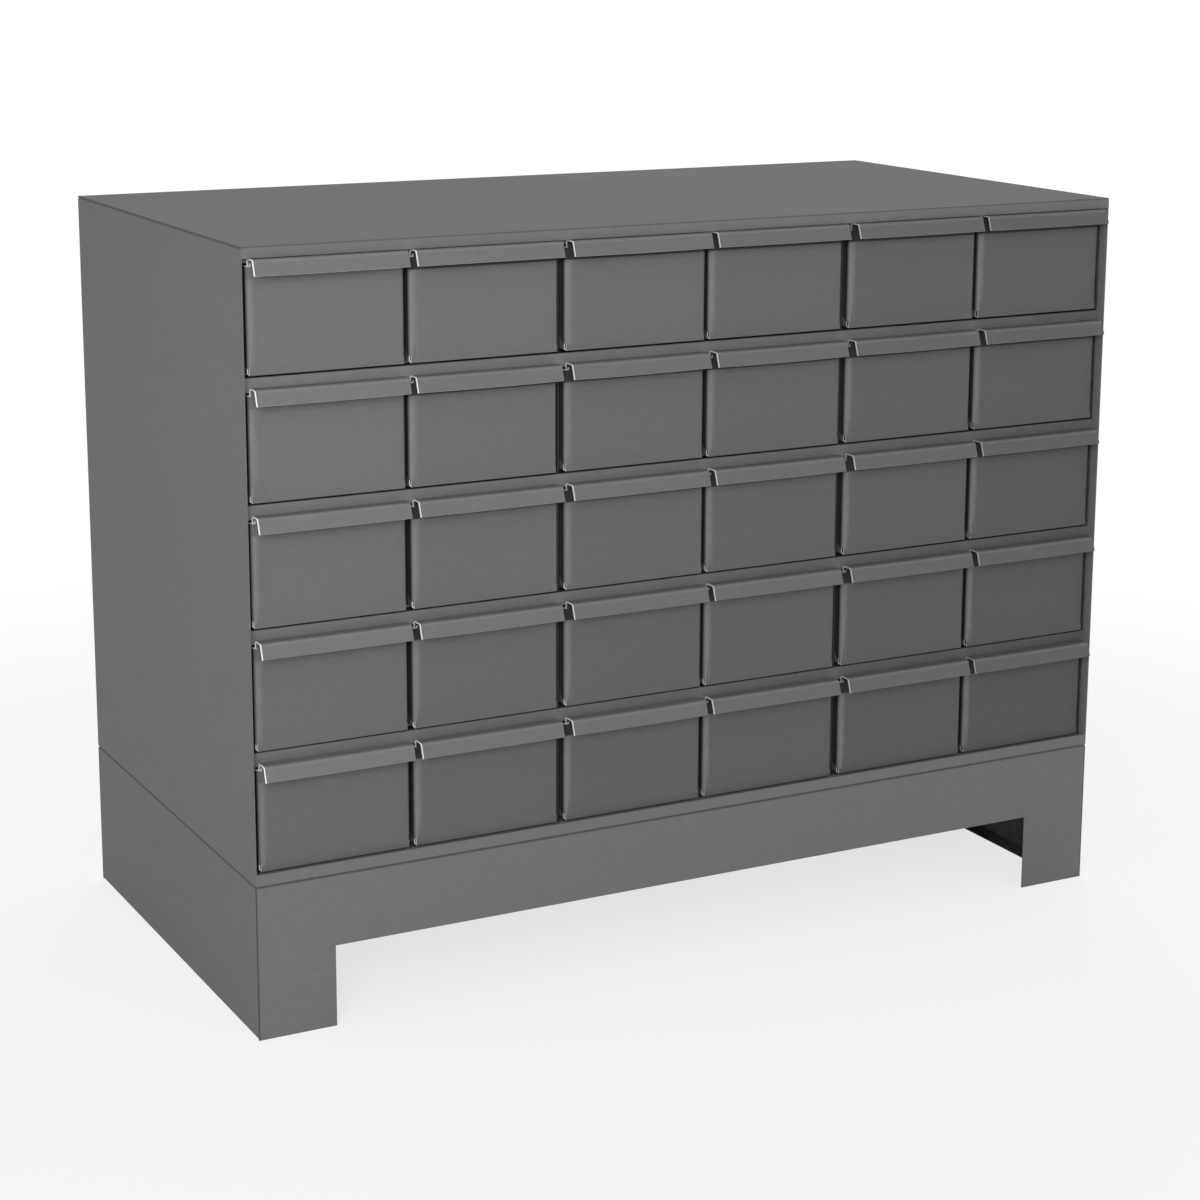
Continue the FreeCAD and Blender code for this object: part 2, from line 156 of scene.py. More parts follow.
class FinishSettings(bpy.types.PropertyGroup):
    """Colours of the paint and of the unpainted metal, and of the painted light and shade laid on them."""

    body_enamel: bpy.props.FloatVectorProperty(
        name="Body Enamel", description="Paint of the body and of the base", subtype="COLOR",
        default=(0.165, 0.165, 0.166), min=0, max=1)
    drawer_enamel: bpy.props.FloatVectorProperty(
        name="Drawer Enamel", description="Paint of the drawers at the left end of the top row",
        subtype="COLOR", default=(0.150, 0.150, 0.151), min=0, max=1)
    # Painted shade: the drawers' colour darkens towards the right column and the bottom row, as light falls
    # off.
    column_fade: bpy.props.FloatProperty(
        name="Column Fade",
        description="Share of the drawers' colour lost from the left column to the right one",
        default=0.30, subtype="FACTOR", min=0, max=1)
    row_fade: bpy.props.FloatProperty(
        name="Row Fade",
        description="Share of the drawers' colour lost from the top row to the bottom one", default=0.17,
        subtype="FACTOR", min=0, max=1)
    # The cut edges' near-white colour is unpainted steel brightened by a painted highlight.
    cut_edge: bpy.props.FloatVectorProperty(
        name="Cut Edge", description="Bare steel along the cut edges of the drawers' sheets",
        subtype="COLOR", default=(0.92, 0.92, 0.90), min=0, max=1)
    # Painted highlight that dims from the left column to the right one.
    edge_fade: bpy.props.FloatProperty(
        name="Edge Fade",
        description="Share of the cut edges' colour lost from the left column to the right one",
        default=0.62, subtype="FACTOR", min=0, max=1)
    # Painted light on the rails: lighter to the left and towards the top.
    rail_fade: bpy.props.FloatProperty(
        name="Rail Fade", description="Share of the rails' colour lost in every metre from left to right",
        default=0.5, min=0, max=1)
    rail_drop: bpy.props.FloatProperty(
        name="Rail Drop", description="Share of the rails' colour lost in every metre downwards",
        default=0.6, min=0, max=1)
    # Painted shadow: a dark line on the rails just under the drawers' lower edges.
    dust: bpy.props.FloatVectorProperty(
        name="Dust", description="Dark line that gathers on the rails just under the drawers",
        subtype="COLOR", default=(0.02, 0.02, 0.02), min=0, max=1)
    dust_drop: bpy.props.FloatProperty(
        name="Dust Drop", description="How far that line reaches below the drawers", default=2.8 * MM,
        unit="LENGTH")
    # Painted highlight on the pulls, lighter than the faces by the same share in every row.
    pull_lift: bpy.props.FloatProperty(
        name="Pull Lift", description="How much lighter the pulls are than the faces of the top row",
        default=1.08, min=1, max=2)
    # Dark colour of the dividers, a painted shade, also used for the painted shade deep inside the body and
    # for a dark line along its outer edges.
    thin_paint: bpy.props.FloatVectorProperty(
        name="Thin Paint", description="Dark line where the body's paint runs thin over a sharp edge",
        subtype="COLOR", default=(0.06, 0.06, 0.061), min=0, max=1)
    # Painted shade behind and inside the pulls and round the drawers' bends.
    shelter: bpy.props.FloatProperty(
        name="Shelter", description="Share of the colour lost inside a pull, where little paint reaches",
        default=0.8, subtype="FACTOR", min=0, max=1)
    # Colour of the painted highlight along the drawers' left corners and the pulls' front bends.
    rubbed_enamel: bpy.props.FloatVectorProperty(
        name="Rubbed Enamel", description="Paint polished by hands along bends and corners",
        subtype="COLOR", default=(0.30, 0.30, 0.30), min=0, max=1)
    galvanised: bpy.props.FloatVectorProperty(
        name="Galvanised Steel", description="Strips that the drawers ride on", subtype="COLOR",
        default=(0.42, 0.42, 0.43), min=0, max=1)
    zinc: bpy.props.FloatVectorProperty(
        name="Zinc Plate", description="Bolts and nuts of the base", subtype="COLOR",
        default=(0.55, 0.55, 0.53), min=0, max=1)


class StageSettings(bpy.types.PropertyGroup):
    """The studio: floor, lamps, surroundings and camera."""

    lens: bpy.props.FloatProperty(
        name="Lens", description="Focal length on a 36 mm sensor", default=79.54,
        subtype="DISTANCE_CAMERA")
    lens_shift: bpy.props.FloatProperty(
        name="Lens Shift", description="Upward shift of the lens, as a share of the picture's width",
        default=-0.1)
    camera_place: bpy.props.FloatVectorProperty(
        name="Camera Place", description="Where the camera stands", default=(-1.1575, -2.2077, 0.9355),
        subtype="TRANSLATION", unit="LENGTH")
    azimuth: bpy.props.FloatProperty(
        name="Azimuth", description="Direction of the camera round the cabinet, from its front",
        default=math.radians(-27.741), subtype="ANGLE", unit="ROTATION")
    elevation: bpy.props.FloatProperty(
        name="Elevation", description="How steeply the camera looks down", default=math.radians(12.020),
        subtype="ANGLE", unit="ROTATION")
    roll: bpy.props.FloatProperty(
        name="Roll", description="How far the camera is turned about its own axis",
        default=math.radians(0.216), subtype="ANGLE", unit="ROTATION")
    surroundings: bpy.props.FloatProperty(
        name="Surroundings", description="Level of the even light from all round", default=0.5, min=0)
    key_power: bpy.props.FloatProperty(
        name="Key Lamp", description="Power of the large lamp at the front, on the left", default=68,
        unit="POWER")
    back_power: bpy.props.FloatProperty(
        name="Back Lamp", description="Power of the large lamp behind, on the right", default=60,
        unit="POWER")
    backdrop_share: bpy.props.FloatProperty(
        name="Backdrop Share",
        description="How much of the floor's look is its own white, and not its shading", default=0.72,
        subtype="FACTOR", min=0, max=1)


# Node building


# Sockets of the Mix node when it mixes colours
MIX_FACTOR = 0
MIX_FIRST_COLOUR = 6
MIX_SECOND_COLOUR = 7
MIX_RESULT = 2


class Signal:
    """A value or colour on its way through a node tree; arithmetic on it adds nodes."""

    def __init__(self, nodes, socket):
        self.nodes = nodes
        self.socket = socket

    def __add__(self, other):
        return self.nodes.math("ADD", self, other)

    def __sub__(self, other):
        return self.nodes.math("SUBTRACT", self, other)

    def __mul__(self, other):
        return self.nodes.math("MULTIPLY", self, other)

    def __truediv__(self, other):
        return self.nodes.math("DIVIDE", self, other)

    def __rsub__(self, other):
        return self.nodes.math("SUBTRACT", other, self)

    __radd__ = __add__
    __rmul__ = __mul__

    def __abs__(self):
        return self.nodes.math("ABSOLUTE", self)

    def limited(self):
        """Return the value kept between 0 and 1."""
        return self.nodes.node("ShaderNodeClamp", {}, {"Value": self})

    def above(self, threshold, softness):
        """Return a mask that rises from 0 to 1 as the value passes a threshold."""
        return ((self - threshold) / softness).limited()


class NodeSheet:
    """The node tree of one material or of the surroundings."""

    def __init__(self, tree):
        self.tree = tree
        tree.nodes.clear()

    def node(self, kind, settings, inputs, output=0):
        """Add a node, with its settings made before its sockets are filled, and return one of its outputs."""
        made = self.tree.nodes.new(kind)
        for name, value in settings.items():
            setattr(made, name, value)
        for name, value in inputs.items():
            socket = made.inputs[name]
            if isinstance(value, Signal):
                self.tree.links.new(value.socket, socket)
            else:
                socket.default_value = (*value, 1.0) if socket.type == "RGBA" else value
        return Signal(self, made.outputs[output]) if len(made.outputs) else None

    def math(self, operation, *values):
        """Add a Math node."""
        return self.node("ShaderNodeMath", {"operation": operation}, dict(enumerate(values)))

    def mix(self, factor, first, second):
        """Return a mixture of two colours."""
        inputs = {MIX_FACTOR: factor, MIX_FIRST_COLOUR: first, MIX_SECOND_COLOUR: second}
        return self.node("ShaderNodeMix", {"data_type": "RGBA"}, inputs, output=MIX_RESULT)

    def scaled(self, colour, factor):
        """Return a colour made lighter or darker by a value."""
        return self.node("ShaderNodeVectorMath", {"operation": "SCALE"}, {0: colour, "Scale": factor})

    def place(self):
        """Return the place on the piece, in metres."""
        return self.node("ShaderNodeTexCoord", {}, {}, output="Object")

    def stretched(self, vector, scale):
        """Return a place with each axis scaled by its own number."""
        return self.node("ShaderNodeVectorMath", {"operation": "MULTIPLY"}, {0: vector, 1: scale})

    def part(self, vector, axis):
        """Return one coordinate of a place."""
        return self.node("ShaderNodeSeparateXYZ", {}, {0: vector}, output=axis)

    def noise(self, vector, scale, detail=2.0):
        """Return a soft random value about 0.5, with a scale in waves to the metre."""
        return self.node("ShaderNodeTexNoise", {}, {"Vector": vector, "Scale": scale, "Detail": detail})

    def attribute(self, name):
        """Return a value kept on the piece's vertices."""
        return self.node("ShaderNodeAttribute", {"attribute_name": name}, {}, output="Fac")

    def bump(self, height, distance, strength):
        """Return the normal of a surface with small relief."""
        inputs = {"Height": height, "Distance": distance, "Strength": strength}
        return self.node("ShaderNodeBump", {}, inputs, output="Normal")

    def surface(self, **inputs):
        """Add the main shader and join it to the output."""
        shader = self.node("ShaderNodeBsdfPrincipled", {}, inputs)
        self.node("ShaderNodeOutputMaterial", {}, {"Surface": shader})


def new_finish(name):
    """Return a new material and its empty node tree."""
    material = bpy.data.materials.new(name)
    material.use_nodes = True
    return material, NodeSheet(material.node_tree)


# Finishes


# How strongly each finish mirrors, as a specular level
BODY_SHEEN = 0.03
DRAWER_SHEEN = 0.2
EDGE_SHEEN = 0.5


def box_edge_mask(nodes, place, low, high, width, upright):
    """Return a mask of a box's edges, weaker on the upright ones, that falls from 1 to 0 within a width."""
    near = []
    for axis, lo, hi in zip("XYZ", low, high):
        middle = (lo + hi) / 2
        half = (hi - lo) / 2
        inward = half - abs(nodes.part(place, axis) - middle)
        near.append((1 - inward / width).limited())
    near_side, near_end, near_level = near
    edges = [upright * (near_side * near_end), near_end * near_level, near_level * near_side]
    longest = nodes.math("MAXIMUM", edges[0], edges[1])
    return nodes.math("MAXIMUM", longest, edges[2])


def enamel_layers(nodes, colour, rub, rubbed_colour):
    """Return the colour, roughness and normal of satin enamel, with a second colour mixed in where a mask
    says; callers use it for painted highlights, painted shade and a dark edge line.
    """
    clouds_per_metre = 5.0
    specks_per_metre = 130.0
    patches_per_metre = 140.0
    touches_per_metre = 9.0
    peel_per_metre = 700.0
    dents_per_metre = 14.0
    relief_depth = 0.9 * MM
    place = nodes.place()
    cloud = nodes.noise(place, clouds_per_metre, detail=3.0)
    mottle = nodes.noise(place, specks_per_metre)
    sprayed = nodes.scaled(colour, 0.90 + 0.06 * cloud + 0.14 * mottle)
    patchy = nodes.noise(place, patches_per_metre, detail=3.0).above(threshold=0.42, softness=0.2)
    # Share of the second colour, the painted light, broken up in patches; it also smooths the enamel.
    overlay = (rub * (0.75 + 0.25 * patchy)).limited()
    painted = nodes.mix(overlay, sprayed, rubbed_colour)
    handled = nodes.noise(nodes.stretched(place, (1.0, 1.0, 3.0)), touches_per_metre, detail=4.0)
    roughness = 0.50 + 0.12 * handled - 0.12 * overlay
    peel = nodes.noise(place, peel_per_metre, detail=1.0)
    dents = nodes.noise(place, dents_per_metre, detail=1.0)
    normal = nodes.bump(0.06 * peel + 0.94 * dents, relief_depth, strength=0.35)
    return painted, roughness, normal


def satin_surface(nodes, layers, sheen):
    """Join layers of enamel to the output of a material."""
    colour, roughness, normal = layers
    nodes.surface(**{
        "Base Color": colour,
        "Roughness": roughness,
        "Normal": normal,
        "Specular IOR Level": sheen,
    })


def divider_painted_shade(settings):
    """Return the dark enamel of the dividers, a painted shade for their place deep between the drawers."""
    sprays_per_metre = 40.0
    material, nodes = new_finish("divider_painted_shade")
    spray = nodes.noise(nodes.place(), sprays_per_metre)
    toned = nodes.scaled(settings.thin_paint, 0.6 + 0.3 * spray)
    satin_surface(nodes, enamel_layers(nodes, toned, 0.3 * spray, settings.thin_paint), BODY_SHEEN)
    return material


def rail_enamel(settings):
    """Return the enamel of the shelves and rails, with painted light that makes them lighter at the upper
    left and a painted shadow under the drawers.
    """
    full_height = 0.52
    middle_share = 1.02
    brush_lines_per_metre = 160.0
    painted_shadow_width = 4 * MM
    painted_shadow_blur = 0.5 * MM
    material, nodes = new_finish("rail_enamel")
    place = nodes.place()
    across = nodes.part(place, "X")
    height = nodes.part(place, "Z")
    # Painted light: lighter to the left and towards the top.
    toned = nodes.scaled(settings.body_enamel, middle_share - settings.rail_fade * across)
    toned = nodes.scaled(toned, 1 + settings.rail_drop * (height - full_height))
    brushed = nodes.noise(nodes.stretched(place, (1.0, 1.0, 12.0)), brush_lines_per_metre, detail=3.0)
    toned = nodes.scaled(toned, 0.94 + 0.12 * brushed)
    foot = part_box(f"drawer_{ROWS}_1")[0].z
    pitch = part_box(f"drawer_{ROWS - 1}_1")[0].z - foot
    # Painted shadow: a dark line just under each row of drawers.
    above_line = nodes.math("FLOORED_MODULO", height - (foot - settings.dust_drop), pitch)
    dust = above_line.above(0.0, painted_shadow_blur) * (1 - above_line.above(painted_shadow_width, painted_shadow_blur))
    satin_surface(nodes, enamel_layers(nodes, toned, dust, settings.dust), BODY_SHEEN)
    return material


def deep_inside(nodes, low, high, depth):
    """Return a mask that is 1 on the surfaces inside a box, further back from its front than a depth."""
    skin = 1.0 * MM
    sharp = 0.2 * MM
    soft = 2 * MM
    place = nodes.place()
    across, back, up = (nodes.part(place, axis) for axis in "XYZ")
    middle = (low.x + high.x) / 2
    half = high.x - skin - middle
    inside = (half - abs(across - middle)).above(0.0, sharp)
    inside = inside * (back - (low.y + depth)).above(0.0, soft)
    inside = inside * (high.y - skin - back).above(0.0, sharp)
    return inside * (high.z - skin - up).above(0.0, sharp)


def body_enamel(name, settings, node_names, bare_below, upright, shade_behind):
    """Return the enamel of the body or the base, with a dark line along the named panels' outer edges and
    painted shade on the surfaces deep inside them.
    """
    edge_width = 1.5 * MM
    edge_strength = 1.4
    material, nodes = new_finish(name)
    boxes = [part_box(node) for node in node_names]
    low = Vector([min(box[0][axis] for box in boxes) for axis in range(3)])
    high = Vector([max(box[1][axis] for box in boxes) for axis in range(3)])
    lowered = low - Vector((0, 0, bare_below))
    edges = box_edge_mask(nodes, nodes.place(), lowered, high, edge_width, upright)
    # Dark line along the outer edges, and painted shade on the inner surfaces further back than a depth.
    thin = nodes.math("MAXIMUM", edge_strength * edges, deep_inside(nodes, low, high, shade_behind))
    satin_surface(nodes, enamel_layers(nodes, settings.body_enamel, thin, settings.thin_paint), BODY_SHEEN)
    return material


def bare_steel_colour(nodes, settings):
    """Return the colour of the drawers' unpainted steel with a painted highlight, brightest at the left end
    of the cabinet.
    """
    return nodes.scaled(settings.cut_edge, nodes.attribute("edge_highlight_share"))


def drawer_enamel(name, settings, inside):
    """Return the enamel of the drawers' outsides or insides, with painted shade, painted highlights, and
    unpainted steel with a painted highlight in places.
    """
    rub_strength = 0.35
    material, nodes = new_finish(name)
    # The tone is a random spread of the paint times a painted shade that darkens to the right and downwards.
    toned = nodes.scaled(settings.drawer_enamel, nodes.attribute("tone"))
    # Painted shade behind the pulls and round the bends.
    toned = nodes.scaled(toned, 1 - settings.shelter * nodes.attribute("shelter"))
    # Inside, painted shade under the pull's fold; outside, a painted highlight on the pull.
    if inside:
        toned = nodes.scaled(toned, 1 - settings.shelter * nodes.attribute("fold"))
    else:
        toned = nodes.scaled(toned, 1 + nodes.attribute("pull_highlight_gain") * nodes.attribute("fold"))
    # Painted highlight along the left corners and the pulls' front bends.
    rub = rub_strength * nodes.attribute("rub")
    colour, roughness, normal = enamel_layers(nodes, toned, rub, settings.rubbed_enamel)
    # Unpainted steel with a painted highlight at the left ends of the pulls and feet and along the tops of
    # the left wraps.
    colour = nodes.mix(nodes.attribute("bare").limited(), colour, bare_steel_colour(nodes, settings))
    satin_surface(nodes, (colour, roughness, normal), DRAWER_SHEEN)
    return material


def cut_edge_steel(settings):
    """Return the slightly chipped look of the sheets' cut edges, unpainted steel made bright by a painted
    highlight.
    """
    chips_per_metre = 420.0
    grain_per_metre = 900.0
    grain_depth = 0.05 * MM
    material, nodes = new_finish("cut_edge_steel")
    place = nodes.place()
    chips = nodes.noise(place, chips_per_metre).above(threshold=0.55, softness=0.15)
    colour = nodes.mix(0.25 * chips, bare_steel_colour(nodes, settings), settings.drawer_enamel)
    grain = nodes.noise(nodes.stretched(place, (1.0, 1.0, 6.0)), grain_per_metre)
    normal = nodes.bump(grain, grain_depth, strength=0.3)
    satin_surface(nodes, (colour, 0.42 + 0.2 * chips, normal), EDGE_SHEEN)
    return material


def galvanised_steel(settings):
    """Return galvanised strip with its spangle and the scratches of sliding drawers."""
    flakes_per_metre = 130.0
    scratches_per_metre = 25.0
    relief_depth = 0.05 * MM
    material, nodes = new_finish("galvanised_steel")
    place = nodes.place()
    inputs = {"Vector": place, "Scale": flakes_per_metre}
    flake = nodes.part(nodes.node("ShaderNodeTexVoronoi", {}, inputs, output="Color"), "X")
    scratches = nodes.noise(nodes.stretched(place, (60.0, 1.0, 60.0)), scratches_per_metre, detail=3.0)
    overlay = scratches.above(threshold=0.56, softness=0.06)
    dull = nodes.scaled(settings.galvanised, 0.82 + 0.3 * flake)
    colour = nodes.mix(0.5 * overlay, dull, settings.zinc)
    nodes.surface(**{
        "Base Color": colour,
        "Metallic": 0.85 + 0.1 * flake,
        "Roughness": 0.5 - 0.15 * overlay + 0.1 * flake,
        "Normal": nodes.bump(flake + 0.5 * scratches, relief_depth, strength=0.3),
    })
    return material


def zinc_plate(settings):
    """Return the dulled zinc plate of the bolts and nuts."""
    rust_colour = (0.72, 0.72, 0.70)
    blooms_per_metre = 220.0
    rust_per_metre = 90.0
    relief_depth = 0.06 * MM
    material, nodes = new_finish("zinc_plate")
    place = nodes.place()
    bloom = nodes.noise(place, blooms_per_metre, detail=3.0)
    white_rust = nodes.noise(place, rust_per_metre, detail=4.0).above(threshold=0.6, softness=0.1)
    plated = nodes.scaled(settings.zinc, 0.8 + 0.35 * bloom)
    nodes.surface(**{
        "Base Color": nodes.mix(0.4 * white_rust, plated, rust_colour),
        "Metallic": 1.0 - 0.5 * white_rust,
        "Roughness": 0.32 + 0.3 * bloom,
        "Normal": nodes.bump(bloom, relief_depth, strength=0.4),
    })
    return material


def paint(node_names, material):
    """Put one finish on CAD nodes."""
    for name in node_names:
        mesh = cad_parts[name].data
        mesh.materials.clear()
        mesh.materials.append(material)


# Bent sheets


# How finely the bends are drawn
STEP_ANGLE = math.radians(18)
FEWEST_STEPS = 3
BEND_MARGIN = 1.2 * MM
WELD_DISTANCE = 0.02 * MM
SHARP_ANGLE = math.radians(35)


def arc_steps(turn):
    """Return how many straight steps a bend is drawn with."""
    return max(FEWEST_STEPS, round(abs(turn) / STEP_ANGLE))


def bent_line(points, radii):
    """Return a line whose inner corners are rounded, with a further point a margin from each bend's ends."""
    line = [Vector(points[0])]
    for before, corner, after, radius in zip(points, points[1:], points[2:], radii):
        corner = Vector(corner)
        back = (Vector(before) - corner).normalized()
        ahead = (Vector(after) - corner).normalized()
        opening = back.angle(ahead)
        turn = math.pi - opening
        cut = radius * math.tan(turn / 2)
        centre = corner + (back + ahead).normalized() * (radius / math.cos(turn / 2))
        start = corner + back * cut
        side = 1 if back.cross(ahead) < 0 else -1
        spoke = start - centre
        count = arc_steps(turn)
        line.append(start + back * BEND_MARGIN)
        for step in range(count + 1):
            angle = side * turn * step / count
            line.append(centre + Matrix.Rotation(angle, 2) @ spoke)
        line.append(corner + ahead * (cut + BEND_MARGIN))
    line.append(Vector(points[-1]))
    return line


def spread(start, end, count):
    """Return evenly spaced numbers, both ends included."""
    return [start + (end - start) * i / (count - 1) for i in range(count)]


# Marks on a sheet's points: painted highlight, unpainted steel with a painted highlight, painted shade, and
# the pull's fold.
MARKS = ("rub", "bare", "shelter", "fold")


class SheetPlan:
    """The middle surface of a bent sheet, put together from grids of points."""

    def __init__(self):
        self.mesh = bmesh.new()
        for name in MARKS:
            self.mesh.verts.layers.float.new(name)

    def grid(self, rows, **marks):
        """Add a grid of points, each a row of places, and rows of values for the marks that are named."""
        made = []
        for row in rows:
            made.append([self.mesh.verts.new(point) for point in row])
        for name, values in marks.items():
            layer = self.mesh.verts.layers.float[name]
            for vertices, shares in zip(made, values):
                for vertex, share in zip(vertices, shares):
                    vertex[layer] = share
        for lower, upper in zip(made, made[1:]):
            for a, b, c, d in zip(lower, lower[1:], upper[1:], upper):
                self.mesh.faces.new((a, b, c, d))

    def shaped(self, change):
        """Move every point as a function says."""
        for vertex in self.mesh.verts:
            vertex.co = change(vertex.co)

    def solid(self, name, sheet, materials, tones):
        """Return the sheet as a thick piece: its outside, its cut edges and its inside have a finish each."""
        bmesh.ops.remove_doubles(self.mesh, verts=self.mesh.verts, dist=WELD_DISTANCE)
        bmesh.ops.recalc_face_normals(self.mesh, faces=self.mesh.faces)
        plan = bpy.data.meshes.new(name)
        self.mesh.to_mesh(plan)
        self.mesh.free()
        for material in materials:
            plan.materials.append(material)
        flat = bpy.data.objects.new(name + "_plan", plan)
        bpy.context.scene.collection.objects.link(flat)
        thicken = flat.modifiers.new("sheet", "SOLIDIFY")
        thicken.thickness = sheet
        thicken.offset = 0.0
        thicken.use_even_offset = True
        thicken.material_offset_rim = 1
        thicken.material_offset = 2
        evaluated = flat.evaluated_get(bpy.context.evaluated_depsgraph_get())
        mesh = bpy.data.meshes.new_from_object(evaluated)
        mesh.name = name
        bpy.data.objects.remove(flat)
        bpy.data.meshes.remove(plan)
        mesh.shade_smooth()
        mesh.set_sharp_from_angle(angle=SHARP_ANGLE)
        for tone, value in tones.items():
            values = mesh.attributes.new(tone, "FLOAT", "POINT")
            values.data.foreach_set("value", [value] * len(mesh.vertices))
        piece = bpy.data.objects.new(name, mesh)
        bpy.context.scene.collection.objects.link(piece)
        return piece


# The points of a drawer's front, and where it carries painted highlights, painted shade and unpainted steel
# with a painted highlight
FACE_COLUMNS = 13
FACE_ROWS = 5
# Painted highlight along the left corner.
HIGHLIGHT_WIDTH = 4.5 * MM
HIGHLIGHT_STEPS = (0.33, 0.67, 1.0)
HIGHLIGHT_END = 0.6
SHADE_DROP = 4 * MM
SHADE_BLUR = 1.6 * MM
# Unpainted steel with a painted highlight along the top of the left wrap.
BURR_HEIGHT = 0.8 * MM
BURR_HIGHLIGHT = 0.8
LEFT_SHADE = (0.4, 0.9)
RIGHT_SHADE = (0.08, 0.4)
FOOT_ROWS = 3
FOOT_EDGE = 0.6 * MM
# Unpainted steel with a painted highlight at the left end of the foot.
FOOT_HIGHLIGHT = 0.5
PULL_EDGES = (0.7 * MM, 1.0 * MM)
PULL_END = 0.8 * MM
# Unpainted steel with a painted highlight at the left end of the pull, stronger on the part in front of the
# face.
FRONT_END_HIGHLIGHT = 1.0
BACK_END_HIGHLIGHT = 0.6
# Painted highlight along the pull's front bend.
BEND_HIGHLIGHT = 0.6


def add_face(plan, width, sizes, pull, pull_shade, face_x):
    """Add a drawer's face and tabs, with a painted highlight at the left corner, painted shade round the
    bends and behind the pull, and unpainted steel with a painted highlight along the top of the left wrap.
    """
    half = sizes.sheet / 2
    wall_x = width / 2 - half
    corner = sizes.corner_radius - half
    corners = [(-wall_x, sizes.tab), (-wall_x, half), (wall_x, half), (wall_x, sizes.tab)]
    wrap = bent_line(corners, [corner] * 2)
    turn = arc_steps(math.pi / 2) + 2
    outline = wrap[:turn] + [Vector((x, half)) for x in face_x] + wrap[-turn:]
    slope = sizes.mitre_rise / (sizes.tab - sizes.corner_radius)
    feet = [sizes.notch_height + slope * max(0, p.y - sizes.corner_radius) for p in outline]
    shade_line = sizes.front_height - pull.height - SHADE_DROP
    lit_top = shade_line - SHADE_BLUR
    rows = []
    for share in spread(0, 1, FACE_ROWS):
        rows.append([(p.x, p.y, low + (lit_top - low) * share) for p, low in zip(outline, feet)])
    for z in (shade_line, sizes.wall_height - BURR_HEIGHT, sizes.wall_height):
        rows.append([(p.x, p.y, z) for p in outline])
    # Painted highlight on the left corner and painted shade round the corner bends.
    polished = []
    bend_shade = []
    for p in outline:
        turned = (p.y - half) / corner
        from_corner = (p.x - face_x[0]) / HIGHLIGHT_WIDTH
        polished.append(max(0.0, 1 - max(turned / HIGHLIGHT_END, from_corner)))
        start, end = LEFT_SHADE if p.x < 0 else RIGHT_SHADE
        fading = 1 - max(0.0, p.y - 2 * corner) / (sizes.tab - 2 * corner)
        bend_shade.append(min(1.0, max(0.0, (turned - start) / (end - start))) * fading)
    # Unpainted steel with a painted highlight along the top of the left wrap.
    burr_highlight = [BURR_HIGHLIGHT if p.x < face_x[0] else 0.0 for p in outline]
    nowhere = [0.0] * len(outline)
    behind_pull = [max(pull_shade, share) for share in bend_shade]
    rows_above = len(rows) - FACE_ROWS
    plan.grid(
        rows,
        rub=[polished] * FACE_ROWS + [nowhere] * rows_above,
        shelter=[bend_shade] * FACE_ROWS + [behind_pull] * rows_above,
        bare=[nowhere] * (len(rows) - 1) + [burr_highlight])


def add_foot(plan, width, sizes, face_x):
    """Add the low strip of a drawer's face between its two notches, with unpainted steel and a painted
    highlight at the left one.
    """
    half = sizes.sheet / 2
    notch_x = width / 2 - sizes.notch_inset
    foot_x = [-notch_x, FOOT_EDGE - notch_x] + face_x + [notch_x - FOOT_EDGE, notch_x]
    rows = [[(x, half, z) for x in foot_x] for z in spread(0, sizes.notch_height, FOOT_ROWS)]
    bare = [FOOT_HIGHLIGHT] + [0.0] * (len(foot_x) - 1)
    plan.grid(rows, bare=[bare] * len(rows))


def add_pull(plan, width, sizes, pull, pull_shade, face_x):
    """Add the pull along the top of a drawer's face, with a painted highlight along its front bend, unpainted
    steel with a painted highlight at its left end, and painted shade on the face behind it.
    """
    half = sizes.sheet / 2
    bend = pull.bend_radius + half
    top = sizes.front_height - half
    front = half - pull.reach
    front_zone = front + 1.1 * bend
    top_zone = top - 1.2 * bend
    corners = [
        (half, sizes.wall_height),
        (half, top),
        (front, top),
        (half - pull.lip_reach, sizes.front_height - pull.height),
    ]
    section = bent_line(corners, [bend] * 2)
    end_x = width / 2 - pull.inset
    pull_x = [-end_x] + [edge - end_x for edge in PULL_EDGES] + face_x + [end_x]
    rubbed = []
    bare = []
    sheltered = []
    folded = []
    for p in section:
        # Painted highlight on the front bend, unpainted steel with a painted highlight at the left end,
        # painted shade behind the pull.
        on_bend = BEND_HIGHLIGHT if p.x < front_zone and p.y > top_zone else 0.0
        outside = 1.0 if p.x < 0 else 0.0
        end_bare = FRONT_END_HIGHLIGHT if p.x < 0 else BACK_END_HIGHLIGHT
        rubbed.append([on_bend] * len(pull_x))
        bare.append([end_bare if x < PULL_END - end_x else 0.0 for x in pull_x])
        sheltered.append([pull_shade * (1.0 - outside)] * len(pull_x))
        folded.append([outside] * len(pull_x))
    rows = [[(x, p.x, p.y) for x in pull_x] for p in section]
    plan.grid(rows, rub=rubbed, bare=bare, shelter=sheltered, fold=folded)


def front_plan(width, sizes, pull, pull_shade):
    """Return the middle surface of a drawer's front, with its face on Y = 0 and its foot on Z = 0."""
    flat_x = width / 2 - sizes.corner_radius
    face_x = spread(-flat_x, flat_x, FACE_COLUMNS)
    face_x[1:1] = [face_x[0] + HIGHLIGHT_WIDTH * share for share in HIGHLIGHT_STEPS]
    plan = SheetPlan()
    add_face(plan, width, sizes, pull, pull_shade, face_x)
    add_foot(plan, width, sizes, face_x)
    add_pull(plan, width, sizes, pull, pull_shade, face_x)
    return plan


# The points of a drawer's tray
HEM_GAP = 0.05 * MM
HEM_POINTS = 7
WALL_ROWS = 5
TRAY_STATIONS = 9
FLOOR_COLUMNS = 9
FLOOR_BEND_POINTS = 7
BACK_COLUMNS = 7
BACK_ROWS = 4

# How far below a wall's top its straight parts end, in hem radii
HEM_START = 4
WALL_END = 12


